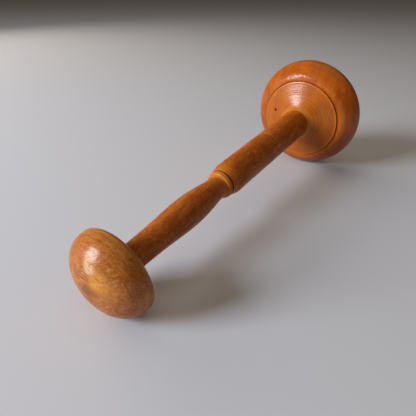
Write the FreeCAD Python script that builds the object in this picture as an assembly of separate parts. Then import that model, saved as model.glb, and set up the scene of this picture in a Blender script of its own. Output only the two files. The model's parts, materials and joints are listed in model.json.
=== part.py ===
"""Double-ended turned wooden mallet: five pieces of wood, joined with round tenons.

Millimetres, +Z up. The mallet lies on a flat surface, on the rims of its two heads, with
the large head at +X and the small head at -X. The surface is Z = 0, and the middle of the
mallet's length is X = 0.

Every turned piece is drawn first on the lathe's axis: r is the distance from that axis
and s the distance along it, from the striking face of the large head (s = 0) to the crown
of the small head (s = OVERALL_LENGTH). lay_down() then puts the pieces where they rest.
"""
import FreeCAD, Part
import math
import os

from FreeCAD import Vector

OVERALL_LENGTH = 320.0

# Large head: a bun with a slightly crowned striking face and a fat rounded back. The back
# rolls over towards a ring, where a small step leads up to a hollow cone round the grip.
HEAD_RADIUS = 56.0
HEAD_RIM_S = 10.6            # where the head is widest
FACE_FLAT_RADIUS = 21.0      # flat middle of the striking face
BACK_WIDTH = 33.6            # half axes of the rounded back, across the lathe's axis
BACK_HEIGHT = 25.6           # and along it
ROLL_LEAN = 40.0             # degrees; from this slope the back rolls over in a tighter arc
RING_LEAN = 8.0              # degrees; the slope that is left where it meets the ring
RING_RADIUS = 40.1
STEP_HEIGHT = 1.3
STEP_WIDTH = 0.4
CREASE_WIDTH = 1.3           # fine V cut along the foot of the step
CREASE_DEPTH = 0.8
CONE = ((32, 34.47), (25, 36.85), (18, 40.6))  # (r, s) points between ring and grip
CONE_LEAN_AT_RING = 9.5      # degrees
CONE_LEAN_AT_GRIP = 62.0
WORMHOLE_RADIUS = 1.1
WORMHOLE_DEPTH = 6.0
WORMHOLE_AT_RADIUS = 27.8
WORMHOLE_TURN = 74.0         # degrees round the axis from the top

# Grip: a slow taper from the large head to a rounded shoulder at the collar.
GRIP_RADIUS_AT_HEAD = 14.25
GRIP_RADIUS_AT_COLLAR = 13.75
GRIP_FOOT_S = 44.6           # where it comes out of the cone
SHOULDER_S = 172.0           # where the shoulder starts
SHOULDER = ((13.0, 177.0), (12.15, 179.8))  # (r, s) points of its curve
COLLAR_S = 183.4             # the seam between grip and baluster
COLLAR_RADIUS = 11.85        # outer edge of the grip's end
SEAM_WIDTH = 1.5             # open gap round the seam, outside the seat
SEAT_RADIUS = 10.6           # the two shafts meet face to face inside this radius
SCRIBE_S = 107.0
SCRIBE_WIDTH = 0.9
SCRIBE_DEPTH = 0.4

# Baluster: a bead against the seam, a step down to a neck, then a slim swelling.
BEAD_RADIUS = 11.85          # at the seam
BEAD_END_RADIUS = 11.4       # where its rounding starts
BEAD_LENGTH = 4.2
BEAD_ROUNDING = 1.5
NECK_RADIUS = 9.15
BALUSTER = (                 # (r, s) points between the neck and the small head
    (9.2, 193.5),
    (10.15, 203.0),
    (11.3, 214.5),
    (11.85, 228.0),
    (11.45, 240.5),
    (10.6, 252.0),
    (9.85, 266.0),
    (9.4, 281.0),
)
BALUSTER_END_RADIUS = 9.4

# Small head: a mushroom cap.
CAP_RADIUS = 30.6
CAP_RIM_S = 299.4            # where the cap is widest
CAP_FULLNESS = 2.25          # exponent of the dome's superellipse; 2 is a plain ellipse
CAP_EDGE_WIDTH = 14.0        # half axes of the rounded edge behind the rim, across
CAP_EDGE_HEIGHT = 6.0        # and along the lathe's axis
CAP_COVE_DEPTH = 2.0         # hollow of the underside round the shaft
DOME_POINTS = 8

# Joinery. Every tenon is turned on the end of its shaft and fills its hole.
TENON_RADIUS = 9.0           # through the large head
HOUSING_DEPTH = 4.0          # the grip's full section goes this far into the cone
KERF_DEPTH = 27.0
KERF_AT_FACE = 3.4
KERF_AT_END = 0.8
KERF_TURN = 25.0             # degrees round the axis
SPIGOT_RADIUS = 6.5          # from the baluster into the grip
SPIGOT_LENGTH = 28.0
CAP_TENON_RADIUS = 6.5       # from the baluster into the small head
CAP_TENON_LENGTH = 17.0
GLUE_GAP = 1.5               # free space past the end of each blind tenon

# Years of lying on hard surfaces have worn a small flat on the rim of each head.
REST_WEAR = 0.3

AXIS = Vector(0, 0, 1)
MIDDLE = Vector(0, 0, 0)


def at(r, s):
    """A point of a half section."""
    return Vector(r, 0, s)


def lines(*points):
    return [Part.LineSegment(a, b).toShape() for a, b in zip(points, points[1:])]


def quarter(centre, end_a, end_b):
    """The quarter ellipse round centre between the ends of its two half axes."""
    if end_a.distanceToPoint(centre) < end_b.distanceToPoint(centre):
        end_a, end_b = end_b, end_a
    ellipse = Part.Ellipse(end_a, end_b, centre)
    return ellipse.toShape(0, math.pi / 2)


def spline(points, start, end):
    """A smooth curve through a few points, leaving and arriving along two directions."""
    curve = Part.BSplineCurve()
    curve.interpolate(Points=points, InitialTangent=start, FinalTangent=end)
    return curve


def unit(lean):
    """Outward direction of a surface whose normal leans this far from the lathe's axis."""
    return at(math.sin(lean), math.cos(lean))


def downhill(degrees):
    """Direction inwards and along +s, on a surface whose normal leans this far."""
    lean = math.radians(degrees)
    return at(-math.cos(lean), math.sin(lean))


def turned(edges):
    """The solid of revolution of a closed half section."""
    wire = Part.Wire(Part.__sortEdges__(edges))
    return Part.Face(wire).revolve(MIDDLE, AXIS, 360)


def one_solid(shape):
    """The single solid inside the result of a cut, which comes wrapped in a compound."""
    if len(shape.Solids) != 1:
        raise ValueError(f"expected one solid, found {len(shape.Solids)}")
    return shape.Solids[0]


def rod(radius, s_from, s_to):
    return Part.makeCylinder(radius, s_to - s_from, at(0, s_from))


def v_groove(r, s, width, depth, lean):
    """The cutter for a V groove round the axis, in a surface that leans inwards.

    lean is the angle between the surface's outward normal and the lathe's axis.
    """
    out = unit(lean)
    along = at(math.cos(lean), -math.sin(lean))
    mouth = at(r, s)
    low = mouth - out * depth
    high = mouth + out * depth
    side = along * (width / 2)
    return turned(lines(low, mouth - side, high, mouth + side, low))


def back_edges():
    """The back, from the rim to the foot of the ring's step."""
    rim = at(HEAD_RADIUS, HEAD_RIM_S)
    centre = at(HEAD_RADIUS - BACK_WIDTH, HEAD_RIM_S)
    full_back = Part.Ellipse(rim, centre + AXIS * BACK_HEIGHT, centre)
    roll_lean = math.radians(ROLL_LEAN)
    ring_lean = math.radians(RING_LEAN)
    roll_turn = math.atan2(BACK_HEIGHT, BACK_WIDTH * math.tan(roll_lean))
    start = full_back.value(roll_turn)
    radius = (start.x - RING_RADIUS) / (math.sin(roll_lean) - math.sin(ring_lean))
    roll_centre = start - unit(roll_lean) * radius
    middle = roll_centre + unit((roll_lean + ring_lean) / 2) * radius
    end = roll_centre + unit(ring_lean) * radius
    return [full_back.toShape(0, roll_turn), Part.Arc(start, middle, end).toShape()], end


def hollow_cone(step_foot):
    """The curve between the ring's step and the grip."""
    start = step_foot + at(-STEP_WIDTH, STEP_HEIGHT)
    end = at(GRIP_RADIUS_AT_HEAD, GRIP_FOOT_S)
    return spline(
        [start, *[at(*point) for point in CONE], end],
        downhill(CONE_LEAN_AT_RING),
        downhill(CONE_LEAN_AT_GRIP),
    )


def large_head():
    rim = at(HEAD_RADIUS, HEAD_RIM_S)
    face_edge = at(FACE_FLAT_RADIUS, 0)
    face_centre = at(FACE_FLAT_RADIUS, HEAD_RIM_S)
    back, step_foot = back_edges()
    cone = hollow_cone(step_foot)
    head = turned(
        lines(at(0, GRIP_FOOT_S), at(0, 0), face_edge)
        + [quarter(face_centre, face_edge, rim)]
        + back
        + lines(step_foot, cone.StartPoint)
        + [cone.toShape()]
        + lines(cone.EndPoint, at(0, GRIP_FOOT_S))
    )
    lean = math.radians(RING_LEAN)
    head = head.cut(v_groove(step_foot.x, step_foot.z, CREASE_WIDTH, CREASE_DEPTH, lean))
    head = head.cut(rod(TENON_RADIUS, 0, GRIP_FOOT_S))
    head = head.cut(rod(GRIP_RADIUS_AT_HEAD, GRIP_FOOT_S - HOUSING_DEPTH, GRIP_FOOT_S))
    return head.cut(wormhole(cone))


def wormhole(cone):
    """A beetle's exit hole, square to the cone's surface."""
    upright = Part.LineSegment(at(WORMHOLE_AT_RADIUS, 0), at(WORMHOLE_AT_RADIUS, GRIP_FOOT_S))
    crossing = cone.intersectCC(upright)[0]
    mouth = at(crossing.X, crossing.Z)
    along = cone.tangent(cone.parameter(mouth))[0]
    out = at(abs(along.z), abs(along.x))
    bottom = mouth - out * WORMHOLE_DEPTH
    hole = Part.makeCylinder(WORMHOLE_RADIUS, 2 * WORMHOLE_DEPTH, bottom, out)
    hole.rotate(MIDDLE, AXIS, WORMHOLE_TURN)
    return hole


def wedge_blank():
    """The taper that fills the tenon's saw kerf, wider than the tenon."""
    face = KERF_AT_FACE / 2
    end = KERF_AT_END / 2
    reach = 2 * TENON_RADIUS
    corners = [
        Vector(-reach, -face, 0),
        Vector(-reach, face, 0),
        Vector(-reach, end, KERF_DEPTH),
        Vector(-reach, -end, KERF_DEPTH),
    ]
    section = Part.Face(Part.Wire(lines(*corners, corners[0])))
    blank = section.extrude(Vector(2 * reach, 0, 0))
    blank.rotate(MIDDLE, AXIS, KERF_TURN)
    return blank


def head_wedge():
    return wedge_blank().common(rod(TENON_RADIUS, 0, KERF_DEPTH))


def grip_shaft():
    """The straight grip, its wedged tenon, and the blind hole for the spigot."""
    housing_s = GRIP_FOOT_S - HOUSING_DEPTH
    shoulder = at(GRIP_RADIUS_AT_COLLAR, SHOULDER_S)
    lip = at(COLLAR_RADIUS, COLLAR_S - SEAM_WIDTH / 2)
    shaft = turned(
        lines(
            at(0, COLLAR_S),
            at(0, 0),
            at(TENON_RADIUS, 0),
            at(TENON_RADIUS, housing_s),
            at(GRIP_RADIUS_AT_HEAD, housing_s),
            at(GRIP_RADIUS_AT_HEAD, GRIP_FOOT_S),
            shoulder,
        )
        + [spline([shoulder, *[at(*point) for point in SHOULDER], lip], AXIS, AXIS).toShape()]
        + lines(lip, at(SEAT_RADIUS, lip.z), at(SEAT_RADIUS, COLLAR_S), at(0, COLLAR_S))
    )
    taper = (GRIP_RADIUS_AT_HEAD - GRIP_RADIUS_AT_COLLAR) / (SHOULDER_S - GRIP_FOOT_S)
    scribe_r = GRIP_RADIUS_AT_HEAD - taper * (SCRIBE_S - GRIP_FOOT_S)
    shaft = shaft.cut(v_groove(scribe_r, SCRIBE_S, SCRIBE_WIDTH, SCRIBE_DEPTH, math.pi / 2))
    shaft = shaft.cut(rod(SPIGOT_RADIUS, COLLAR_S - SPIGOT_LENGTH - GLUE_GAP, COLLAR_S))
    return shaft.cut(wedge_blank())


def baluster_shaft():
    """Bead, neck and swelling, with the spigot at one end and the cap's tenon at the other."""
    bead_end = COLLAR_S + BEAD_LENGTH
    cap_s = cap_underside_s()
    spigot_end = COLLAR_S - SPIGOT_LENGTH
    rounding_centre = at(NECK_RADIUS, bead_end - BEAD_ROUNDING)
    bead_edge = at(BEAD_END_RADIUS, bead_end - BEAD_ROUNDING)
    neck = at(NECK_RADIUS, bead_end)
    top = at(BALUSTER_END_RADIUS, cap_s)
    swelling = [at(*point) for point in BALUSTER]
    return turned(
        lines(
            at(0, cap_s + CAP_TENON_LENGTH),
            at(0, spigot_end),
            at(SPIGOT_RADIUS, spigot_end),
            at(SPIGOT_RADIUS, COLLAR_S),
            at(SEAT_RADIUS, COLLAR_S),
            at(SEAT_RADIUS, COLLAR_S + SEAM_WIDTH / 2),
            at(BEAD_RADIUS, COLLAR_S + SEAM_WIDTH / 2),
            bead_edge,
        )
        + [
            quarter(rounding_centre, bead_edge, neck),
            spline([neck, *swelling, top], AXIS, AXIS).toShape(),
        ]
        + lines(
            top,
            at(CAP_TENON_RADIUS, cap_s),
            at(CAP_TENON_RADIUS, cap_s + CAP_TENON_LENGTH),
            at(0, cap_s + CAP_TENON_LENGTH),
        )
    )


def cap_underside_s():
    return CAP_RIM_S - CAP_EDGE_HEIGHT + CAP_COVE_DEPTH


def dome(share):
    """A point of the cap's dome, from the rim (share 0) to the crown (share 1)."""
    turn = share * math.pi / 2
    power = 2 / CAP_FULLNESS
    rise = OVERALL_LENGTH - CAP_RIM_S
    return at(CAP_RADIUS * math.cos(turn) ** power, CAP_RIM_S + rise * math.sin(turn) ** power)


def small_head():
    rim = at(CAP_RADIUS, CAP_RIM_S)
    crown = at(0, OVERALL_LENGTH)
    edge = at(CAP_RADIUS - CAP_EDGE_WIDTH, CAP_RIM_S - CAP_EDGE_HEIGHT)
    edge_centre = at(CAP_RADIUS - CAP_EDGE_WIDTH, CAP_RIM_S)
    under = cap_underside_s()
    dome_points = [dome(i / DOME_POINTS) for i in range(1, DOME_POINTS)]
    cap = turned(
        [
            spline([rim, *dome_points, crown], AXIS, at(-1, 0)).toShape(),
            quarter(edge_centre, rim, edge),
        ]
        + lines(edge, at(BALUSTER_END_RADIUS, under), at(0, under), crown)
    )
    return cap.cut(rod(CAP_TENON_RADIUS, under, under + CAP_TENON_LENGTH + GLUE_GAP))


def lying_tilt():
    """The angle at which one flat surface touches both heads.

    The surface touches each head where its distance from the lathe's origin is greatest
    in the direction that faces the surface, so both heads must reach equally far.
    """
    dual = CAP_FULLNESS / (CAP_FULLNESS - 1)

    def reach_difference(tilt):
        c = math.cos(tilt)
        d = math.sin(tilt)
        head = (HEAD_RADIUS - BACK_WIDTH) * c + HEAD_RIM_S * d
        head += math.hypot(BACK_WIDTH * c, BACK_HEIGHT * d)
        rise = OVERALL_LENGTH - CAP_RIM_S
        cap = CAP_RIM_S * d + ((CAP_RADIUS * c) ** dual + (rise * d) ** dual) ** (1 / dual)
        return head - cap

    low = 0.0
    high = math.radians(20)
    while high - low > 1e-9:
        middle = (low + high) / 2
        if reach_difference(middle) > 0:
            low = middle
        else:
            high = middle
    return low


def lay_down(pieces):
    """Turns the lathe's axis from +Z to -X, dips it by the tilt, and centres the mallet.

    It comes to lie REST_WEAR lower than its rims reach, which worn_flat() then takes off.
    """
    for shape in pieces.values():
        shape.rotate(MIDDLE, Vector(0, 1, 0), -90 - math.degrees(lying_tilt()))
    box = Part.makeCompound(list(pieces.values())).optimalBoundingBox(False)
    move = Vector(-(box.XMin + box.XMax) / 2, 0, -box.ZMin - REST_WEAR)
    for shape in pieces.values():
        shape.translate(move)
    return move


def worn_flat(head):
    """Takes off what a lying head would sink into the surface that it lies on."""
    box = head.BoundBox
    corner = Vector(box.XMin, box.YMin, -HEAD_RADIUS)
    return head.cut(Part.makeBox(box.XLength, box.YLength, HEAD_RADIUS, corner))


def main():
    pieces = {
        "large_head": one_solid(large_head()),
        "head_wedge": one_solid(head_wedge()),
        "grip_shaft": one_solid(grip_shaft()),
        "baluster_shaft": one_solid(baluster_shaft()),
        "small_head": one_solid(small_head()),
    }
    move = lay_down(pieces)
    for node in ("large_head", "small_head"):
        pieces[node] = one_solid(worn_flat(pieces[node]))
    print("tilt", math.degrees(lying_tilt()), "lathe origin at", move)
    os.makedirs("parts", exist_ok=True)
    for node, shape in pieces.items():
        shape.exportStep(f"parts/{node}.step")
        box = shape.optimalBoundingBox(False)
        print(node, shape.ShapeType, shape.isValid(), round(shape.Volume), box)


main()
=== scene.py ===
"""The looks of the double-ended turned mallet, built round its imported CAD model.

Every turned piece is remade as a finer mesh. It is drawn in the lathe's own frame, where
r is the distance from the lathe's axis and s the distance along it, from the striking
face to the crown of the small head, and then put where the mallet lies. In that frame
turn is the angle round the axis, in degrees from the side that faces up. Sizes are in
millimetres until they reach a mesh, which is in metres.
"""

import json
import math

import bmesh
import bpy
import numpy as np
from mathutils import Matrix, Vector


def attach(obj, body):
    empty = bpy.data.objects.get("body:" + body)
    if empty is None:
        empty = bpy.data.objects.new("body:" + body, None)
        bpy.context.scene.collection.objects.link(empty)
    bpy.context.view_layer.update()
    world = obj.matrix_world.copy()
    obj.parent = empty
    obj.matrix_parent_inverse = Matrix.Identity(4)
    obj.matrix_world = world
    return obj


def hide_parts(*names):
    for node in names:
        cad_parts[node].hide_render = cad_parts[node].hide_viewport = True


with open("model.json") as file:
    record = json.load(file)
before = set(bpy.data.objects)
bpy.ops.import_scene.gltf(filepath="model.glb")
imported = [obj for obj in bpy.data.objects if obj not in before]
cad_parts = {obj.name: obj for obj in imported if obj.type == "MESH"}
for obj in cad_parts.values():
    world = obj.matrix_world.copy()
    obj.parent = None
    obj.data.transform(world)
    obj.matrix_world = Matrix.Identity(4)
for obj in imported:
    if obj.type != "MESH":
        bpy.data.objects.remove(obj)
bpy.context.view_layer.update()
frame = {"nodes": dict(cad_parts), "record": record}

MM = 0.001

# ---------------------------------------------------------------- driving dimensions
LENGTH = 320.0

HEAD_RADIUS = 56.0
HEAD_RIM_S = 10.6
FACE_FLAT_RADIUS = 21.0
BACK_WIDTH = 33.6
BACK_HEIGHT = 25.6
ROLL_LEAN = 40.0
RING_LEAN = 8.0
RING_RADIUS = 40.1
STEP_HEIGHT = 1.3
STEP_WIDTH = 0.4
CREASE_WIDTH = 1.3
CREASE_DEPTH = 0.8
CREASE_INNER_SHARE = 0.6     # of its outer half's width, on the side of the step
CONE = ((32, 34.47), (25, 36.85), (18, 40.6))  # (r, s) points between ring and grip
CONE_LEAN_AT_RING = 9.5
CONE_LEAN_AT_GRIP = 62.0
WORMHOLE_RADIUS = 1.1
WORMHOLE_DEPTH = 6.0
WORMHOLE_AT_RADIUS = 27.8
WORMHOLE_TURN = 74.0
WORMHOLE_SIDES = 20
WORMHOLE_OVALITY = 0.08

GRIP_RADIUS_AT_HEAD = 14.25
GRIP_RADIUS_AT_COLLAR = 13.75
GRIP_FOOT_S = 44.6
SHOULDER_S = 172.0
SHOULDER = ((13.0, 177.0), (12.15, 179.8))
COLLAR_S = 183.4
COLLAR_RADIUS = 11.85
SEAM_WIDTH = 1.5
SEAT_RADIUS = 10.6
SCRIBE_S = 107.0
SCRIBE_WIDTH = 0.9
SCRIBE_DEPTH = 0.4

BEAD_RADIUS = 11.85          # at the seam
BEAD_END_RADIUS = 11.4       # where its rounding starts
BEAD_LENGTH = 4.2
BEAD_ROUNDING = 1.5
NECK_RADIUS = 9.15
BALUSTER = (                 # (r, s) points between the neck and the small head
    (9.2, 193.5),
    (10.15, 203.0),
    (11.3, 214.5),
    (11.85, 228.0),
    (11.45, 240.5),
    (10.6, 252.0),
    (9.85, 266.0),
    (9.4, 281.0),
)
BALUSTER_END_RADIUS = 9.4

CAP_RADIUS = 30.6
CAP_RIM_S = 299.4
CAP_FULLNESS = 2.25
CAP_EDGE_WIDTH = 14.0
CAP_EDGE_HEIGHT = 6.0
CAP_COVE_DEPTH = 2.0

TENON_RADIUS = 9.0
HOUSING_DEPTH = 4.0
KERF_DEPTH = 27.0
KERF_AT_FACE = 3.4
KERF_AT_END = 0.8
KERF_TURN = 25.0
SPIGOT_RADIUS = 6.5
SPIGOT_LENGTH = 28.0
CAP_TENON_RADIUS = 6.5
CAP_TENON_LENGTH = 17.0
GLUE_GAP = 1.5

JOINT_EASE = 0.2             # broken arris where two pieces meet flush
WEAR_ROUNDING = 0.3          # what handling has taken off every crisp edge
WAVINESS = 0.05              # how far the turned surfaces waver, inwards only
WAVER_FADE = 3.0             # the waver grows over this much radius outside the tenons

# Mesh fineness.
DENSE_STEP = 0.1             # between the points of an outline before it is thinned
HEAD_SEGMENTS = 360
CAP_SEGMENTS = 300
SHAFT_SEGMENTS = 144
SHARP_ANGLE = math.radians(40)


# ---------------------------------------------------------------- the lathe's frame
def lathe_frame():
    """Matrix from lathe coordinates to the row frame, taken from the striking face."""
    face = frame["record"]["mounts"][0]
    along = -Vector(face["axis"]).normalized()
    across = Vector((0, 1, 0))
    up = across.cross(along)
    matrix = Matrix((up, across, along)).transposed().to_4x4()
    matrix.translation = Vector(face["pos_m"])
    return matrix


LATHE = lathe_frame()


def on_lathe(r, turn, s):
    """A point in lathe coordinates, from its radius, turn and distance along the axis."""
    return np.array([r * math.cos(math.radians(turn)), r * math.sin(math.radians(turn)), s])


# ---------------------------------------------------------------- outlines, as (r, s) arrays
def straight(*corners):
    """Dense points along straight lines through the corners."""
    pieces = []
    for a, b in zip(corners, corners[1:]):
        a = np.array(a, float)
        b = np.array(b, float)
        count = max(2, int(np.linalg.norm(b - a) / DENSE_STEP))
        share = np.linspace(0, 1, count)[:, None]
        pieces.append(a + (b - a) * share)
    return joined(*pieces)


def elliptic(centre, radii, start, end):
    """Dense points on an ellipse, between two angles in degrees measured from +r to +s."""
    turn = np.radians(np.linspace(start, end, 2 + int(abs(end - start) * 4)))
    r = centre[0] + radii[0] * np.cos(turn)
    s = centre[1] + radii[1] * np.sin(turn)
    return np.column_stack([r, s])


def joined(*pieces):
    """One outline from several that follow on from each other."""
    kept = [pieces[0]]
    for piece in pieces[1:]:
        same = np.allclose(kept[-1][-1], piece[0], atol=1e-6)
        kept.append(piece[1:] if same else piece)
    return np.vstack(kept)


def spline(x_known, y_known, start_slope, end_slope):
    """A curve y(x) of even bend through a few points, with the slopes at its two ends."""
    x_known = np.array(x_known, float)
    y_known = np.array(y_known, float)
    gaps = np.diff(x_known)
    climbs = np.diff(y_known) / gaps
    count = len(x_known)
    system = np.eye(count)
    wanted = np.array([start_slope, *[0.0] * (count - 2), end_slope])
    for i in range(1, count - 1):
        before, after = gaps[i - 1], gaps[i]
        system[i, i - 1:i + 2] = after, 2 * (before + after), before
        wanted[i] = 3 * (after * climbs[i - 1] + before * climbs[i])
    slope = np.linalg.solve(system, wanted)
    x = np.append(np.arange(x_known[0], x_known[-1], DENSE_STEP), x_known[-1])
    i = np.clip(np.searchsorted(x_known, x, side="right") - 1, 0, count - 2)
    gap = gaps[i]
    t = (x - x_known[i]) / gap
    y = (2 * t**3 - 3 * t**2 + 1) * y_known[i] + (t**3 - 2 * t**2 + t) * gap * slope[i]
    y += (3 * t**2 - 2 * t**3) * y_known[i + 1] + (t**3 - t**2) * gap * slope[i + 1]
    return x, y


def along_shaft(points):
    """A smooth r(s) through (r, s) points, parallel to the axis at both ends."""
    r_known, s_known = zip(*points)
    s, r = spline(s_known, r_known, 0, 0)
    return np.column_stack([r, s])


def run_length(outline):
    steps = np.linalg.norm(np.diff(outline, axis=0), axis=1)
    return np.concatenate([[0], np.cumsum(steps)])


def ease(outline, radius):
    """Rounds the corners of a dense outline by averaging it over a length of twice radius."""
    reach = max(1, int(radius / DENSE_STEP))
    along = run_length(outline)
    even = np.linspace(0, along[-1], int(along[-1] / DENSE_STEP) + 2)
    window = np.hanning(2 * reach + 3)[1:-1]
    window /= window.sum()
    eased = []
    for values in outline.T:
        v = np.interp(even, along, values)
        padded = np.concatenate([2 * v[0] - v[reach:0:-1], v, 2 * v[-1] - v[-2:-reach - 2:-1]])
        eased.append(np.convolve(padded, window, "valid"))
    return np.column_stack(eased)


def thinned(outline, max_turn, max_step):
    """Keeps the points of a dense outline that its bends (in degrees) and its length need."""
    kept = [0]
    heading = np.degrees(np.unwrap(np.arctan2(*np.diff(outline, axis=0).T[::-1])))
    turned_by = 0.0
    along = run_length(outline)
    for i in range(1, len(outline) - 1):
        turned_by += abs(heading[i] - heading[i - 1])
        if turned_by >= max_turn or along[i] - along[kept[-1]] >= max_step:
            kept.append(i)
            turned_by = 0.0
    return outline[kept + [len(outline) - 1]]


def outward(lean):
    """Outward direction (r, s) of a surface whose normal leans this far from the axis."""
    return np.array([math.sin(lean), math.cos(lean)])


def large_head_back():
    """The back from the rim to the top of the ring's step, with the crease at its foot."""
    centre = np.array([HEAD_RADIUS - BACK_WIDTH, HEAD_RIM_S])
    roll_lean = math.radians(ROLL_LEAN)
    ring_lean = math.radians(RING_LEAN)
    roll_turn = math.atan2(BACK_HEIGHT, BACK_WIDTH * math.tan(roll_lean))
    radii = (BACK_WIDTH, BACK_HEIGHT)
    start = centre + np.array([radii[0] * math.cos(roll_turn), radii[1] * math.sin(roll_turn)])
    radius = (start[0] - RING_RADIUS) / (math.sin(roll_lean) - math.sin(ring_lean))
    roll_centre = start - outward(roll_lean) * radius
    foot = roll_centre + outward(ring_lean) * radius
    side = np.array([math.cos(ring_lean), -math.sin(ring_lean)]) * CREASE_WIDTH / 2
    crease_lean = ring_lean + CREASE_WIDTH / 2 / radius
    crease_bottom = foot - outward(ring_lean) * CREASE_DEPTH
    top = foot + np.array([-STEP_WIDTH, STEP_HEIGHT])
    return joined(
        elliptic(centre, radii, 0, math.degrees(roll_turn)),
        elliptic(roll_centre, (radius, radius), 90 - ROLL_LEAN, 90 - math.degrees(crease_lean)),
        straight(foot + side, crease_bottom, foot - side * CREASE_INNER_SHARE, top),
    )


def hollow_cone(start):
    """The curve from the top of the ring's step up to the grip."""
    points = [tuple(start), *CONE, (GRIP_RADIUS_AT_HEAD, GRIP_FOOT_S)]
    inwards = [-r for r, s in points]
    rise = [s for r, s in points]
    slopes = [math.tan(math.radians(lean)) for lean in (CONE_LEAN_AT_RING, CONE_LEAN_AT_GRIP)]
    x, s = spline(inwards, rise, *slopes)
    return np.column_stack([-x, s])


def wormhole_mouth():
    """Where the wormhole opens on the cone: its s, and how far the surface leans there."""
    cone = hollow_cone(large_head_back()[-1])
    mouth = np.argmin(abs(cone[:, 0] - WORMHOLE_AT_RADIUS))
    fall = cone[mouth - 1] - cone[mouth + 1]
    return cone[mouth, 1], math.atan2(-fall[1], fall[0])


def large_head_outline():
    housing_s = GRIP_FOOT_S - HOUSING_DEPTH
    back = large_head_back()
    face_radii = (HEAD_RADIUS - FACE_FLAT_RADIUS, HEAD_RIM_S)
    shown = joined(
        straight((TENON_RADIUS, JOINT_EASE), (TENON_RADIUS + JOINT_EASE, 0), (FACE_FLAT_RADIUS, 0)),
        elliptic((FACE_FLAT_RADIUS, HEAD_RIM_S), face_radii, -90, 0),
        back,
        hollow_cone(back[-1]),
    )
    hidden = np.array([(GRIP_RADIUS_AT_HEAD, housing_s), (TENON_RADIUS, housing_s)])
    return np.vstack([thinned(ease(shown, WEAR_ROUNDING), max_turn=5.0, max_step=1.15), hidden])


def grip_outline():
    housing_s = GRIP_FOOT_S - HOUSING_DEPTH
    lip_s = COLLAR_S - SEAM_WIDTH / 2
    taper = (GRIP_RADIUS_AT_HEAD - GRIP_RADIUS_AT_COLLAR) / (SHOULDER_S - GRIP_FOOT_S)
    scribe_r = GRIP_RADIUS_AT_HEAD - taper * (SCRIBE_S - GRIP_FOOT_S)
    half = SCRIBE_WIDTH / 2
    shown = joined(
        straight(
            (GRIP_RADIUS_AT_HEAD, GRIP_FOOT_S),
            (scribe_r, SCRIBE_S - half),
            (scribe_r - SCRIBE_DEPTH, SCRIBE_S),
            (scribe_r, SCRIBE_S + half),
            (GRIP_RADIUS_AT_COLLAR, SHOULDER_S),
        ),
        along_shaft([(GRIP_RADIUS_AT_COLLAR, SHOULDER_S), *SHOULDER, (COLLAR_RADIUS, lip_s)]),
        straight((COLLAR_RADIUS, lip_s), (SEAT_RADIUS, lip_s), (SEAT_RADIUS, COLLAR_S)),
    )
    tenon = np.array([
        (0, 0),
        (TENON_RADIUS - JOINT_EASE, 0),
        (TENON_RADIUS, JOINT_EASE),
        (TENON_RADIUS, housing_s),
        (GRIP_RADIUS_AT_HEAD, housing_s),
    ])
    socket_s = COLLAR_S - SPIGOT_LENGTH - GLUE_GAP
    socket = np.array([(SPIGOT_RADIUS, COLLAR_S), (SPIGOT_RADIUS, socket_s), (0, socket_s)])
    shown = thinned(ease(shown, WEAR_ROUNDING / 2), max_turn=6.0, max_step=1.6)
    return np.vstack([tenon, shown, socket])


def cap_underside_s():
    return CAP_RIM_S - CAP_EDGE_HEIGHT + CAP_COVE_DEPTH


def baluster_outline():
    bead_end = COLLAR_S + BEAD_LENGTH
    cap_s = cap_underside_s()
    lip_s = COLLAR_S + SEAM_WIDTH / 2
    rounding_centre = (NECK_RADIUS, bead_end - BEAD_ROUNDING)
    rounding_radii = (BEAD_END_RADIUS - NECK_RADIUS, BEAD_ROUNDING)
    shown = joined(
        straight((SEAT_RADIUS, COLLAR_S), (SEAT_RADIUS, lip_s), (BEAD_RADIUS, lip_s)),
        straight((BEAD_RADIUS, lip_s), (BEAD_END_RADIUS, bead_end - BEAD_ROUNDING)),
        elliptic(rounding_centre, rounding_radii, 0, 90),
        along_shaft([(NECK_RADIUS, bead_end), *BALUSTER, (BALUSTER_END_RADIUS, cap_s)]),
    )
    spigot_end = COLLAR_S - SPIGOT_LENGTH
    spigot = np.array([(0, spigot_end), (SPIGOT_RADIUS, spigot_end), (SPIGOT_RADIUS, COLLAR_S)])
    tenon_end = cap_s + CAP_TENON_LENGTH
    tenon = np.array([(CAP_TENON_RADIUS, cap_s), (CAP_TENON_RADIUS, tenon_end), (0, tenon_end)])
    shown = thinned(ease(shown, WEAR_ROUNDING), max_turn=5.0, max_step=1.6)
    return np.vstack([spigot, shown, tenon])


def small_head_outline():
    under = cap_underside_s()
    rise = LENGTH - CAP_RIM_S
    power = 2 / CAP_FULLNESS
    turn = np.linspace(0, math.pi / 2, 600)
    dome_r = CAP_RADIUS * np.maximum(np.cos(turn), 0) ** power
    dome_s = CAP_RIM_S + rise * np.sin(turn) ** power
    edge_centre = (CAP_RADIUS - CAP_EDGE_WIDTH, CAP_RIM_S)
    shown = joined(
        straight((BALUSTER_END_RADIUS, under), (edge_centre[0], CAP_RIM_S - CAP_EDGE_HEIGHT)),
        elliptic(edge_centre, (CAP_EDGE_WIDTH, CAP_EDGE_HEIGHT), -90, 0),
        np.column_stack([dome_r, dome_s]),
    )
    socket_end = under + CAP_TENON_LENGTH + GLUE_GAP
    socket = np.array([(0, socket_end), (CAP_TENON_RADIUS, socket_end), (CAP_TENON_RADIUS, under)])
    return np.vstack([socket, thinned(shown, max_turn=3.0, max_step=0.9)])


# ---------------------------------------------------------------- dents
# The small head's pale dents: (radius, turn, s, size, depth) of each.
CAP_MARKS = (
    (25.0, -36.0, 312.6, 2.0, 0.30),
    (23.0, -57.0, 314.2, 1.6, 0.26),
    (21.5, -50.0, 315.1, 1.0, 0.22),
    (13.5, -110.0, 318.4, 1.3, 0.26),
)


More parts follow.
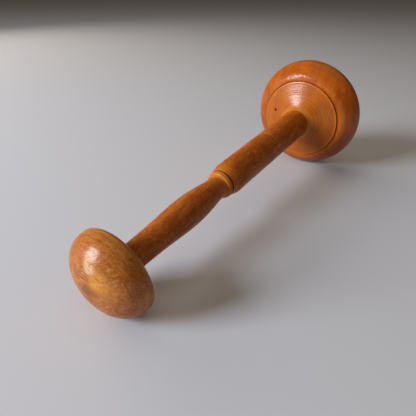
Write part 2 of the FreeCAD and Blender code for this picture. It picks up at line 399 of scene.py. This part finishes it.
def random_marks(outline, count, seed, largest, deepest, least_radius):
    """Dents scattered over the outer part of a turned surface, most of them small."""
    draw = np.random.default_rng(seed)
    worn = outline[outline[:, 0] > least_radius]
    marks = []
    for _ in range(count):
        r, s = worn[draw.integers(len(worn))]
        turn = draw.uniform(0, 360)
        share = draw.random() ** 1.5
        marks.append((r, turn, s, 0.7 + largest * share, 0.05 + deepest * share))
    return marks


def dented(points, normals, marks):
    """Pushes the lathe-frame points near each mark in, against the surface's normals."""
    for r, turn, s, size, depth in marks:
        distance = np.linalg.norm(points - on_lathe(r, turn, s), axis=-1)
        near = np.clip(1 - distance / size, 0, 1)
        sink = depth * near**2 * (3 - 2 * near)
        points = points - normals * sink[..., None]
    return points


# ---------------------------------------------------------------- meshes
def outline_normals(outline, turns):
    """Outward normals of a turned surface, for an outline with the wood on its left."""
    tangent = np.gradient(outline, axis=0)
    tangent /= np.maximum(np.linalg.norm(tangent, axis=1), 1e-9)[:, None]
    out_r = tangent[:, 1][:, None]
    out_s = np.repeat(-tangent[:, 0][:, None], len(turns), axis=1)
    return np.stack([out_r * np.cos(turns), out_r * np.sin(turns), out_s], axis=-1)


def wavered(r, s, turns, seed):
    """Shrinks r a little by a waver of two, three and five waves round the axis."""
    waver = np.sin(2 * turns + seed) * 0.5 + np.sin(3 * turns - seed + 0.03 * s) * 0.3
    waver = waver + np.sin(5 * turns + 0.11 * s + 2 * seed) * 0.2
    return r - WAVINESS * (0.5 + 0.5 * waver)


def turned(name, outline, segments, loop=False, marks=(), seed=0):
    """A mesh turned from an outline of (r, s) points.

    The outline starts and ends on the axis, or, for a loop, closes on itself. Its surface
    wavers a little inwards, takes its dents, and is flat where it lies on the ground.
    """
    turns = 2 * math.pi * np.arange(segments) / segments
    r = outline[:, 0][:, None]
    s = outline[:, 1][:, None]
    shown = np.clip((r - TENON_RADIUS) / WAVER_FADE, 0, 1)
    shrunk = r + (wavered(r, s, turns, seed) - r) * shown
    points = np.stack([shrunk * np.cos(turns), shrunk * np.sin(turns), s + 0 * turns], axis=-1)
    points = dented(points, outline_normals(outline, turns), marks)
    mesh = bpy.data.meshes.new(name)
    piece = bpy.data.objects.new(name, mesh)
    bpy.context.scene.collection.objects.link(piece)
    bm = bmesh.new()

    def vertex(point):
        place = LATHE @ Vector(point * MM)
        place.z = max(place.z, 0.0)
        return bm.verts.new(place)

    rings = []
    for radius, ring in zip(outline[:, 0], points):
        rings.append([vertex(ring[0])] if radius < 1e-6 else [vertex(p) for p in ring])
    pairs = list(zip(rings, rings[1:]))
    if loop:
        pairs.append((rings[-1], rings[0]))
    for low, high in pairs:
        for i in range(segments):
            j = (i + 1) % segments
            corners = [low[i % len(low)], low[j % len(low)], high[j % len(high)], high[i % len(high)]]
            bm.faces.new(list(dict.fromkeys(corners)))
    bmesh.ops.recalc_face_normals(bm, faces=bm.faces)
    bm.to_mesh(mesh)
    bm.free()
    mesh.shade_smooth()
    mesh.set_sharp_from_angle(angle=SHARP_ANGLE)
    return piece


def carved(piece, corners, faces):
    """Cuts a closed cutter, given by lathe-frame corners and faces, out of a piece."""
    mesh = bpy.data.meshes.new("cutter")
    mesh.from_pydata([LATHE @ Vector(c * MM) for c in corners], [], faces)
    cutter = bpy.data.objects.new("cutter", mesh)
    bpy.context.scene.collection.objects.link(cutter)
    cut = piece.modifiers.new("cut", "BOOLEAN")
    cut.operation = "DIFFERENCE"
    cut.solver = "EXACT"
    cut.object = cutter
    evaluated = piece.evaluated_get(bpy.context.evaluated_depsgraph_get())
    result = bpy.data.meshes.new_from_object(evaluated)
    piece.modifiers.clear()
    old = piece.data
    result.name = piece.name
    piece.data = result
    bpy.data.meshes.remove(old)
    bpy.data.objects.remove(cutter)
    bpy.data.meshes.remove(mesh)
    piece.data.set_sharp_from_angle(angle=SHARP_ANGLE)


CUTTER_ABOVE_HOLE = 2.0      # how far each cutter stands out of the wood
CUTTER_ABOVE_KERF = 1.0


def prism(base, top):
    """Corners and faces of a closed prism between two equal polygons."""
    count = len(base)
    faces = [tuple(range(count))[::-1], tuple(range(count, 2 * count))]
    for i in range(count):
        j = (i + 1) % count
        faces.append((i, j, count + j, count + i))
    return np.vstack([base, top]), faces


def wormhole(surface_s, lean):
    """The cutter for a beetle's exit hole, square to the cone, slightly irregular."""
    out = on_lathe(math.sin(lean), WORMHOLE_TURN, math.cos(lean))
    side_a = np.cross(out, (0, 0, 1))
    side_a /= np.linalg.norm(side_a)
    side_b = np.cross(out, side_a)
    mouth = on_lathe(WORMHOLE_AT_RADIUS, WORMHOLE_TURN, surface_s)
    ring = []
    for k in range(WORMHOLE_SIDES):
        angle = 2 * math.pi * k / WORMHOLE_SIDES
        radius = WORMHOLE_RADIUS * (1 + WORMHOLE_OVALITY * math.sin(2 * angle + 1))
        ring.append(radius * (side_a * math.cos(angle) + side_b * math.sin(angle)))
    ring = np.array(ring)
    return prism(mouth - out * WORMHOLE_DEPTH + ring, mouth + out * CUTTER_ABOVE_HOLE + ring)


def kerf():
    """The cutter for the tapered saw kerf in the grip's tenon, which the wedge fills."""
    reach = TENON_RADIUS + 1
    along = on_lathe(1, KERF_TURN, 0)
    across = on_lathe(1, KERF_TURN + 90, 0)
    inwards = on_lathe(0, 0, 1)
    slope = (KERF_AT_FACE - KERF_AT_END) / KERF_DEPTH
    mouth = (KERF_AT_FACE + CUTTER_ABOVE_KERF * slope) / 2
    section = np.array([
        across * mouth - inwards * CUTTER_ABOVE_KERF,
        -across * mouth - inwards * CUTTER_ABOVE_KERF,
        -across * KERF_AT_END / 2 + inwards * KERF_DEPTH,
        across * KERF_AT_END / 2 + inwards * KERF_DEPTH,
    ])
    return prism(section - along * reach, section + along * reach)


# ---------------------------------------------------------------- materials
class Wood:
    """Builds one material's node tree. Its values are sockets or plain numbers.

    x, y, s and r are the lathe's coordinates in millimetres.
    """

    def __init__(self, name):
        self.material = bpy.data.materials.new(name)
        self.material.use_nodes = True
        self.tree = self.material.node_tree
        self.shader = self.tree.nodes["Principled BSDF"]
        where = self.add("ShaderNodeTexCoord").outputs["Object"]
        settings = {
            "Vector": where,
            "Location": LATHE.to_translation(),
            "Rotation": LATHE.to_euler(),
            "Scale": (MM, MM, MM),
        }
        self.lathe = self.add("ShaderNodeMapping", settings, vector_type="TEXTURE").outputs[0]
        split = self.add("ShaderNodeSeparateXYZ", {0: self.lathe}).outputs
        self.x, self.y, self.s = split
        self.r = self.math("SQRT", self.sum(self.times(self.x, self.x), self.times(self.y, self.y)))

    def add(self, kind, inputs=None, **settings):
        """Adds a node, and links or sets its inputs."""
        node = self.tree.nodes.new(kind)
        for key, value in settings.items():
            setattr(node, key, value)
        for key, value in (inputs or {}).items():
            if isinstance(value, bpy.types.NodeSocket):
                self.tree.links.new(value, node.inputs[key])
            else:
                node.inputs[key].default_value = value
        return node

    def math(self, operation, a, b=0.0):
        return self.add("ShaderNodeMath", {0: a, 1: b}, operation=operation).outputs[0]

    def sum(self, first, *rest):
        for value in rest:
            first = self.math("ADD", first, value)
        return first

    def times(self, first, *rest):
        for value in rest:
            first = self.math("MULTIPLY", first, value)
        return first

    def grain(self, scale=(1, 1, 1), rotation=(0, 0, 0), offset=(0, 0, 0)):
        """Lathe coordinates, turned so that the grain runs along Z, then stretched."""
        turned_to = self.add(
            "ShaderNodeMapping",
            {"Vector": self.lathe, "Rotation": [math.radians(a) for a in rotation]},
        ).outputs[0]
        stretched = {"Vector": turned_to, "Scale": scale, "Location": offset}
        return self.add("ShaderNodeMapping", stretched).outputs[0]

    def noise(self, where, scale=1.0, detail=2.0, roughness=0.5, distortion=0.0):
        settings = {
            "Vector": where,
            "Scale": scale,
            "Detail": detail,
            "Roughness": roughness,
            "Distortion": distortion,
        }
        return self.add("ShaderNodeTexNoise", settings).outputs["Fac"]

    def noise_along(self, value, scale, detail=2.0, roughness=0.5):
        settings = {"W": value, "Scale": scale, "Detail": detail, "Roughness": roughness}
        return self.add("ShaderNodeTexNoise", settings, noise_dimensions="1D").outputs["Fac"]

    def ramp(self, value, low, high, out_low=0.0, out_high=1.0):
        """Goes smoothly from out_low to out_high as value goes from low to high."""
        return self.add(
            "ShaderNodeMapRange",
            {"Value": value, 1: low, 2: high, 3: out_low, 4: out_high},
            interpolation_type="SMOOTHSTEP",
        ).outputs[0]

    def near(self, value, middle, half_width):
        """1 where value is at middle, falling smoothly to 0 at half_width away."""
        off = self.math("ABSOLUTE", self.math("SUBTRACT", value, middle))
        return self.ramp(off, 0.0, half_width, 1.0, 0.0)

    def spot(self, r, turn, s, size, blur=1.0):
        """1 round one place on the surface, falling to 0 at size away."""
        place = on_lathe(r, turn, s)
        away = self.add(
            "ShaderNodeVectorMath", {0: self.lathe, 1: place}, operation="DISTANCE"
        ).outputs["Value"]
        return self.ramp(away, size * (1 - blur), size, 1.0, 0.0)

    def blend(self, share, a, b, mode="MIX"):
        node = self.add("ShaderNodeMix", {0: share, 6: a, 7: b}, data_type="RGBA", blend_type=mode)
        return node.outputs[2]

    def finish(self, colour, rough, relief, depth):
        """Links the colour, the roughness and the relief, depth millimetres deep, to the shader."""
        settings = {"Height": relief, "Strength": 1.0, "Distance": depth * MM}
        bump = self.add("ShaderNodeBump", settings)
        links = self.tree.links
        links.new(colour, self.shader.inputs["Base Color"])
        links.new(rough, self.shader.inputs["Roughness"])
        links.new(bump.outputs[0], self.shader.inputs["Normal"])
        links.new(bump.outputs[0], self.shader.inputs["Coat Normal"])


def tone(r, g, b):
    """Scene-linear colour."""
    return (r, g, b, 1.0)


ALONG = (0, 0, 0)
UP = (0, 90, 0)              # grain that runs from the bottom of a head to its top
SIDEWAYS = (90, 0, 0)        # grain that runs from side to side

# Dark brown: the knot's rim, the darker bands where the shafts meet the heads, and painted shade
# inside the wormhole.
GRIME_AND_SHADE = tone(0.050, 0.008, 0.0015)
RUST = tone(0.12, 0.030, 0.003)


class Polished(Wood):
    """Old polished beech. Its parts are kept as sockets, so that a piece can add marks.

    rotation says which way the grain runs. streak, mottle, figure and fleck say how strong
    the long streaks, the broad clouds, the curly figure and the small flecks are.
    """

    def __init__(
        self, name, light, dark, rotation, seed, streak=1.0, mottle=1.0, figure=1.0, fleck=1.0
    ):
        super().__init__(name)
        shift = (seed * 13.7, seed * 7.3, seed * 29.1)

        def grain(*scale):
            return self.grain(scale, rotation, shift)

        self.fibres = self.noise(grain(1.5, 1.5, 0.07), detail=3, roughness=0.6)
        slow = self.noise(grain(0.07, 0.16, 0.006), detail=2, distortion=0.3)
        fine = self.noise(grain(0.35, 0.55, 0.014), detail=2)
        self.clouds = self.noise(grain(0.06, 0.06, 0.04), detail=3, roughness=0.62)
        self.curl = self.noise(grain(0.34, 0.34, 0.13), detail=4, roughness=0.62, distortion=1.6)
        self.flecks = self.ramp(self.noise(grain(2.1, 1.3, 0.42), detail=1.5), 0.60, 0.70)
        pale_cells = self.grain((1.2, 0.9, 0.5), rotation, (seed, seed, seed))
        self.pale_flecks = self.ramp(self.noise(pale_cells, detail=2), 0.60, 0.72)

        share = self.sum(
            self.times(self.math("SUBTRACT", slow, 0.5), 1.7 * streak),
            self.times(self.math("SUBTRACT", fine, 0.5), 0.8 * streak),
            self.times(self.math("SUBTRACT", self.clouds, 0.5), 1.6 * mottle),
            self.times(self.math("SUBTRACT", self.curl, 0.5), 2.0 * figure),
            self.times(self.math("SUBTRACT", self.fibres, 0.5), 0.5),
            0.5,
        )
        self.share = self.ramp(share, 0.0, 1.0)
        self.colour = self.blend(self.share, light, dark)
        self.colour = self.blend(self.times(self.flecks, 0.35 * fleck), self.colour, dark)
        self.colour = self.blend(self.times(self.pale_flecks, 0.22 * fleck), self.colour, light)
        self.rough = self.ramp(self.sum(self.clouds, self.fibres), 0.7, 1.3, 0.36, 0.50)
        self.relief = self.sum(self.times(self.fibres, 0.35), self.times(self.flecks, -0.45))
        shader = self.shader.inputs
        shader["IOR"].default_value = 1.5
        shader["Specular IOR Level"].default_value = 0.2
        shader["Specular Tint"].default_value = (1.0, 0.60, 0.30, 1.0)
        shader["Coat IOR"].default_value = 2.0
        shader["Coat Roughness"].default_value = 0.14
        shader["Coat Weight"].default_value = 0.12

    def tint(self, share, colour=GRIME_AND_SHADE):
        """Moves the colour towards another one, where share is 1 all the way."""
        self.colour = self.blend(share, self.colour, colour)

    def roughen(self, share, value):
        """Moves the roughness towards value where share is 1."""
        change = self.times(self.math("SUBTRACT", value, self.rough), share)
        self.rough = self.sum(self.rough, change)

    def done(self, depth=0.03):
        self.finish(self.colour, self.rough, self.relief, depth)
        return self.material


def turning_lines(wood, along, strength):
    """Fine rings that the gouge left, as relief and as a faint change of tone."""
    lines = wood.noise_along(along, 1.3, detail=3, roughness=0.7)
    wood.relief = wood.sum(wood.relief, wood.times(lines, strength))
    wood.colour = wood.blend(
        wood.ramp(lines, 0.35, 0.75, 0.0, 0.22), wood.colour, tone(0.2, 0.06, 0.015), "MULTIPLY"
    )


def large_head_wood():
    """A round back and a cone, both polished, and a striking face bruised by its work."""
    light = tone(0.53, 0.122, 0.006)
    dark = tone(0.35, 0.064, 0.0025)
    wood = Polished("large_head_wood", light, dark, UP, seed=1, streak=0.6, figure=0.5)
    turning_lines(wood, wood.r, 0.9)

    # The cone: rings that the gouge left, and a slightly paler tone.
    back = wood.ramp(wood.s, HEAD_RIM_S, HEAD_RIM_S + 8)
    cone = wood.times(back, wood.ramp(wood.r, RING_RADIUS, RING_RADIUS - 2))
    ridges = wood.noise_along(wood.r, 0.6, detail=1)
    wood.relief = wood.sum(wood.relief, wood.times(ridges, cone, 4.5))
    wood.tint(wood.times(wood.ramp(ridges, 0.35, 0.65), cone, 0.24), RUST)
    wood.tint(wood.times(cone, 0.12), tone(0.70, 0.22, 0.012))

    # A darker band in the crease, a painted highlight along the step's lip, and a painted sheen on
    # the cone's steep ring at the grip.
    # Darker in the crease at the foot of the step.
    ring = wood.near(wood.r, RING_RADIUS + 0.1, 0.7)
    wood.tint(wood.times(ring, back, 0.15), RUST)
    # Painted highlight along the lip of the step.
    lip_highlight = wood.near(wood.r, RING_RADIUS - STEP_WIDTH - 0.6, 0.8)
    wood.tint(wood.times(lip_highlight, back, 0.45), tone(0.74, 0.28, 0.04))
    # Painted sheen on the cone's steep ring next to the grip.
    foot = wood.ramp(wood.r, GRIP_RADIUS_AT_HEAD + 5, GRIP_RADIUS_AT_HEAD + 1)
    wood.tint(wood.times(foot, back, 0.3), tone(0.76, 0.30, 0.07))

    # A scoured band round the step breaks up the polish.
    dull = wood.near(wood.r, RING_RADIUS + 6, 6.0)
    scoured = wood.noise(wood.grain((0.17, 0.07, 0.17), UP), detail=3, roughness=0.6)
    wood.relief = wood.sum(wood.relief, wood.times(scoured, dull, 40.0))
    wood.roughen(wood.times(dull, 0.7), 0.65)

    # Darker in and round the wormhole: painted shade inside the hole, and a dark ring round its
    # mouth.
    hole_s, _ = wormhole_mouth()
    hole = wood.spot(WORMHOLE_AT_RADIUS, WORMHOLE_TURN, hole_s, WORMHOLE_RADIUS * 1.8, 0.45)
    wood.tint(wood.times(hole, 0.8))

    # It has the most polish of all the pieces.
    wood.shader.inputs["Specular IOR Level"].default_value = 0.3
    wood.shader.inputs["Coat Weight"].default_value = 0.20
    wood.shader.inputs["Coat Roughness"].default_value = 0.21

    # The rim is worn pale in patches.
    worn = wood.times(wood.near(wood.r, HEAD_RADIUS, 3.5), wood.ramp(wood.clouds, 0.4, 0.65))
    wood.tint(wood.times(worn, 0.35), tone(0.50, 0.20, 0.055))
    wood.roughen(wood.times(worn, 0.6), 0.55)

    # The striking face is duller and bruised.
    face = wood.ramp(wood.s, 8.0, 2.0)
    wood.roughen(wood.math("SUBTRACT", 1.0, back), 0.5)
    bruised = wood.noise(wood.grain((0.12, 0.12, 0.05), UP, (9, 2, 5)), detail=4, roughness=0.65)
    bruised = wood.times(wood.ramp(bruised, 0.50, 0.66), face)
    wood.tint(wood.times(bruised, 0.35), tone(0.60, 0.22, 0.045))
    wood.roughen(wood.times(bruised, 0.6), 0.62)
    return wood.done()


def shaft_wood(name, light, dark, seed):
    """The much-handled wood of both shafts, rubbed a little brighter round the collar."""
    wood = Polished(name, light, dark, ALONG, seed, streak=0.7, mottle=1.3, figure=1.5)
    turning_lines(wood, wood.s, 0.35)

    # Rubbed patches on both sides of the collar.
    rubbed = wood.near(wood.s, COLLAR_S + 1.0, 14.0)
    patchy = wood.ramp(wood.sum(rubbed, wood.times(wood.curl, 0.9)), 0.65, 1.40)
    wood.tint(wood.times(patchy, 0.7), tone(0.54, 0.148, 0.013))

    # The seam: painted highlights on its lips, and painted shade in the gap between them.
    from_seam = wood.math("ABSOLUTE", wood.math("SUBTRACT", wood.s, COLLAR_S))
    lip_highlights = wood.times(wood.near(from_seam, SEAM_WIDTH, 1.6), wood.ramp(wood.curl, 0.3, 0.6))
    wood.tint(wood.times(lip_highlights, 0.5), tone(0.72, 0.28, 0.065))
    # Painted shade inside the seam's gap.
    in_seam = wood.ramp(from_seam, SEAM_WIDTH / 2 + 0.3, SEAM_WIDTH / 2 + 0.1)
    wood.tint(wood.times(in_seam, 0.75), tone(0.12, 0.020, 0.0015))

    # Handling has taken most of the polish.
    wood.relief = wood.sum(wood.relief, wood.times(wood.curl, 0.8))
    wood.shader.inputs["Specular Tint"].default_value = (1.0, 0.85, 0.70, 1.0)
    wood.shader.inputs["Coat Weight"].default_value = 0.06
    wood.shader.inputs["Coat Roughness"].default_value = 0.26
    return wood


def grip_wood():
    """Its scribed line has a painted highlight, it is darker round its foot, and it has one small
    knot.
    """
    wood = shaft_wood("grip_wood", tone(0.54, 0.146, 0.013), tone(0.33, 0.072, 0.006), 2)
    # Painted highlight along the scribed line.
    scribe_highlight = wood.near(wood.s, SCRIBE_S, 0.75)
    wood.tint(wood.times(scribe_highlight, 0.55), tone(0.66, 0.25, 0.05))
    # Darker round the foot, where the grip enters the head.
    foot = wood.near(wood.s, GRIP_FOOT_S, 1.2)
    wood.tint(wood.times(foot, 0.5))
    knot = wood.spot(14.1, 28.0, 84.0, 3.6, 0.5)
    rim = wood.times(knot, wood.math("SUBTRACT", 1.0, knot), 4.0)
    wood.tint(wood.times(rim, 0.4))
    return wood.done()


def baluster_wood():
    """Its bead is rubbed pale in streaks, and it is darker at its root under the small head."""
    wood = shaft_wood("baluster_wood", tone(0.51, 0.140, 0.019), tone(0.34, 0.077, 0.007), 3)
    bead = wood.near(wood.s, COLLAR_S + BEAD_LENGTH + 0.3, 4.0)
    handled = wood.ramp(wood.sum(wood.curl, wood.times(wood.fibres, 0.6)), 0.62, 0.90)
    wood.tint(wood.times(bead, handled, 0.5), tone(0.53, 0.20, 0.022))
    # Darker at the root, under the small head.
    root = wood.near(wood.s, cap_underside_s(), 2.5)
    wood.tint(wood.times(root, 0.6))
    return wood.done()


def small_head_wood():
    """Paler than the rest, and covered with the fine scuffs and dents of long use."""
    light = tone(0.56, 0.196, 0.034)
    dark = tone(0.36, 0.088, 0.007)
    wood = Polished(
        "small_head_wood", light, dark, SIDEWAYS, seed=4, streak=0.5, mottle=1.4, figure=0.9
    )
    turning_lines(wood, wood.r, 0.3)
    crown = wood.ramp(wood.r, 27.0, 12.0)

    # Dark lines of grain, most of them on one side of the crown.
    lines = wood.noise(wood.grain((0.9, 0.9, 0.05), SIDEWAYS), detail=2, roughness=0.6)
    lined = wood.sum(wood.times(wood.spot(12.5, 18.0, 318.7, 11.0, 0.6), 0.75), 0.15)
    wood.tint(wood.times(wood.ramp(lines, 0.50, 0.60), lined), tone(0.22, 0.055, 0.006))

    # Stains: a yellow patch and a dark smudge. Two pale patches: wear and a painted reflection.
    patch = wood.times(wood.spot(15.0, -42.0, 318.0, 9.5, 0.7), wood.ramp(wood.curl, 0.34, 0.56))
    wood.tint(wood.times(patch, 0.7), tone(0.80, 0.36, 0.040))
    # Partly wear, partly a painted reflection: the pale tail below the window's highlight.
    wear_and_reflection = wood.sum(
        wood.times(wood.spot(18.5, -9.0, 316.7, 6.5, 0.9), wood.ramp(wood.curl, 0.34, 0.56), 0.75),
        wood.times(wood.spot(23.0, -5.0, 314.3, 6.5, 1.0), wood.ramp(wood.curl, 0.44, 0.60), 0.55),
    )
    wood.tint(wear_and_reflection, tone(0.86, 0.58, 0.36))
    smudge = wood.times(wood.spot(1.5, 60.0, 320.0, 6.5, 0.8), wood.ramp(wood.curl, 0.25, 0.50))
    wood.tint(wood.times(smudge, 0.7), tone(0.17, 0.07, 0.04))

    # Scuffs and nicks all round, pores, and the pale dents.
    scuffs = wood.grain((0.5, 1.6, 0.22), (70, 15, 30))
    scuffs = wood.noise(scuffs, detail=3, roughness=0.7, distortion=1.0)
    scuffed = wood.times(wood.ramp(scuffs, 0.55, 0.64), wood.ramp(wood.r, 3.0, 12.0))
    wood.tint(wood.times(scuffed, 0.5), tone(0.68, 0.32, 0.10))
    wood.roughen(wood.times(scuffed, 0.5), 0.6)
    nicks = wood.grain((1.0, 1.3, 0.16), (60, 35, 15), (4, 8, 2))
    nicks = wood.noise(nicks, detail=2, distortion=0.8)
    nicked = wood.times(wood.ramp(nicks, 0.60, 0.70), wood.ramp(wood.clouds, 0.44, 0.60))
    wood.tint(wood.times(nicked, wood.ramp(wood.r, 4.0, 12.0), 0.38), tone(0.80, 0.46, 0.19))
    pores = wood.noise(wood.grain((1.1, 1.1, 0.55), SIDEWAYS, (3, 5, 7)), detail=1)
    wood.tint(wood.times(wood.ramp(pores, 0.68, 0.74), 0.5), tone(0.13, 0.032, 0.004))
    for r, turn, s, size, _ in CAP_MARKS:
        wood.tint(wood.times(wood.spot(r, turn, s, size), 0.5), tone(0.60, 0.33, 0.17))

    # Darker where the shaft enters, and a crown dimpled by hammering.
    root = wood.near(wood.s, cap_underside_s() - 0.6, 1.6)
    wood.tint(wood.times(root, 0.5))
    hammered = wood.noise(wood.grain((0.22, 0.22, 0.22), SIDEWAYS), detail=3, roughness=0.6)
    wood.relief = wood.sum(
        wood.relief,
        wood.times(hammered, crown, 3.0),
        wood.times(lines, -0.5),
        wood.curl,
    )
    wood.shader.inputs["Coat Weight"].default_value = 0.17
    wood.shader.inputs["Coat Roughness"].default_value = 0.20
    return wood.done(0.05)


def wedge_wood():
    """Darker than the rest, with its end grain showing in the striking face."""
    light = tone(0.26, 0.088, 0.018)
    dark = tone(0.11, 0.032, 0.007)
    wood = Polished("wedge_wood", light, dark, ALONG, seed=5, streak=1.2)
    wood.shader.inputs["Coat Weight"].default_value = 0.1
    return wood.done()


MATERIALS = {
    "large_head_wood": large_head_wood(),
    "grip_wood": grip_wood(),
    "baluster_wood": baluster_wood(),
    "small_head_wood": small_head_wood(),
    "wedge_wood": wedge_wood(),
}


# ---------------------------------------------------------------- the pieces
def finish_piece(piece, node, slot):
    """Gives a new piece its material, and puts it in place of its CAD node."""
    piece.data.materials.clear()
    piece.data.materials.append(MATERIALS[slot])
    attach(piece, "root")
    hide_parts(node)


def make_large_head():
    outline = large_head_outline()
    marks = random_marks(outline, 46, seed=11, largest=2.4, deepest=0.22, least_radius=44.0)
    face = outline[outline[:, 1] < 4.0]
    clear_of_tenon = TENON_RADIUS + 3
    marks += random_marks(
        face, 42, seed=15, largest=3.2, deepest=0.20, least_radius=clear_of_tenon
    )
    piece = turned("large_head_turned", outline, HEAD_SEGMENTS, loop=True, marks=marks, seed=1)
    carved(piece, *wormhole(*wormhole_mouth()))
    finish_piece(piece, "large_head", "large_head_wood")


def make_grip():
    outline = grip_outline()
    marks = random_marks(outline, 22, seed=12, largest=1.6, deepest=0.10, least_radius=12.0)
    piece = turned("grip_turned", outline, SHAFT_SEGMENTS, marks=marks, seed=2)
    carved(piece, *kerf())
    finish_piece(piece, "grip_shaft", "grip_wood")


def make_baluster():
    outline = baluster_outline()
    marks = random_marks(outline, 18, seed=13, largest=1.5, deepest=0.10, least_radius=9.2)
    piece = turned("baluster_turned", outline, SHAFT_SEGMENTS, marks=marks, seed=3)
    finish_piece(piece, "baluster_shaft", "baluster_wood")


def make_small_head():
    outline = small_head_outline()
    marks = random_marks(outline, 34, seed=14, largest=1.9, deepest=0.20, least_radius=14.0)
    marks = [*CAP_MARKS, *marks]
    piece = turned("small_head_turned", outline, CAP_SEGMENTS, marks=marks, seed=4)
    finish_piece(piece, "small_head", "small_head_wood")


make_large_head()
make_grip()
make_baluster()
make_small_head()

wedge = frame["nodes"]["head_wedge"]
wedge.data.materials.clear()
wedge.data.materials.append(MATERIALS["wedge_wood"])


# ---------------------------------------------------------------- stage, light and camera
FLOOR_HALF = 40.0
FLOOR_COLOUR = (0.58, 0.58, 0.60, 1.0)


def make_floor():
    mesh = bpy.data.meshes.new("floor")
    half = FLOOR_HALF
    corners = [(-half, -half, 0), (half, -half, 0), (half, half, 0), (-half, half, 0)]
    mesh.from_pydata(corners, [], [(0, 1, 2, 3)])
    floor = bpy.data.objects.new("floor", mesh)
    bpy.context.scene.collection.objects.link(floor)
    material = bpy.data.materials.new("floor")
    material.use_nodes = True
    shader = material.node_tree.nodes["Principled BSDF"]
    shader.inputs["Base Color"].default_value = FLOOR_COLOUR
    shader.inputs["Roughness"].default_value = 0.9
    shader.inputs["Specular IOR Level"].default_value = 0.2
    mesh.materials.append(material)


WINDOW_DISTANCE = 1.95
WINDOW_AZIMUTH = -56.0       # degrees from +Y towards +X
WINDOW_ELEVATION = 25.0
WINDOW_COLOUR = (0.84, 0.90, 1.0)
PANE_WIDTH = 0.72
PANE_HEIGHT = 0.40
PANE_GAP = 0.10
PANE_POWER = 25.0

# Dim warm light that the room throws back: (name, azimuth, elevation, distance, size, power).
BOUNCES = (
    ("wall", 2.0, 24.0, 1.6, (1.3, 0.6), 7.0),
    ("ceiling", 0.0, 90.0, 2.0, (2.0, 2.0), 6.5),
)
BOUNCE_COLOUR = (1.0, 0.88, 0.74)


def direction(azimuth, elevation):
    """Unit vector; azimuth from +Y towards +X, both in degrees."""
    a = math.radians(azimuth)
    e = math.radians(elevation)
    return Vector((math.sin(a) * math.cos(e), math.cos(a) * math.cos(e), math.sin(e)))


def make_panel(name, place, size, power, colour):
    """A soft rectangular light that faces the mallet."""
    light = bpy.data.lights.new(name, "AREA")
    light.shape = "RECTANGLE"
    light.size, light.size_y = size
    light.energy = power
    light.color = colour
    lamp = bpy.data.objects.new(name, light)
    bpy.context.scene.collection.objects.link(lamp)
    lamp.rotation_euler = (-place).to_track_quat("-Z", "Y").to_euler()
    lamp.location = place
    return lamp


def make_lights():
    """A window of two panes, one above the other, and the light that the room throws back."""
    middle = direction(WINDOW_AZIMUTH, WINDOW_ELEVATION) * WINDOW_DISTANCE
    up = (-middle).to_track_quat("-Z", "Y") @ Vector((0, 1, 0))
    for name, side in (("pane_low", -0.5), ("pane_high", 0.5)):
        place = middle + up * (side * (PANE_HEIGHT + PANE_GAP))
        make_panel(name, place, (PANE_WIDTH, PANE_HEIGHT), PANE_POWER, WINDOW_COLOUR)
    for name, azimuth, elevation, distance, size, power in BOUNCES:
        place = direction(azimuth, elevation) * distance
        panel = make_panel(name, place, size, power, BOUNCE_COLOUR)
        panel.visible_glossy = False


WORLD_COLOUR = (1.0, 0.80, 0.60, 1.0)
WORLD_STRENGTH = 0.10


def make_world():
    world = bpy.data.worlds.new("room")
    world.use_nodes = True
    background = world.node_tree.nodes["Background"]
    background.inputs["Color"].default_value = WORLD_COLOUR
    background.inputs["Strength"].default_value = WORLD_STRENGTH
    bpy.context.scene.world = world


CAMERA_PLACE = (-0.246384, -0.145040, 0.179766)
CAMERA_AZIMUTH = 54.56       # of the view, from +Y towards +X
CAMERA_PITCH = 31.44         # downwards
CAMERA_LENS = 32.02
SENSOR_WIDTH = 36.0


def make_camera():
    data = bpy.data.cameras.new("camera")
    data.lens = CAMERA_LENS
    data.sensor_width = SENSOR_WIDTH
    data.clip_start = 0.01
    camera = bpy.data.objects.new("camera", data)
    bpy.context.scene.collection.objects.link(camera)
    camera.location = CAMERA_PLACE
    view = direction(CAMERA_AZIMUTH, -CAMERA_PITCH)
    camera.rotation_euler = view.to_track_quat("-Z", "Y").to_euler()
    bpy.context.scene.camera = camera


make_floor()
make_lights()
make_world()
make_camera()
bpy.context.scene.view_settings.view_transform = "Standard"
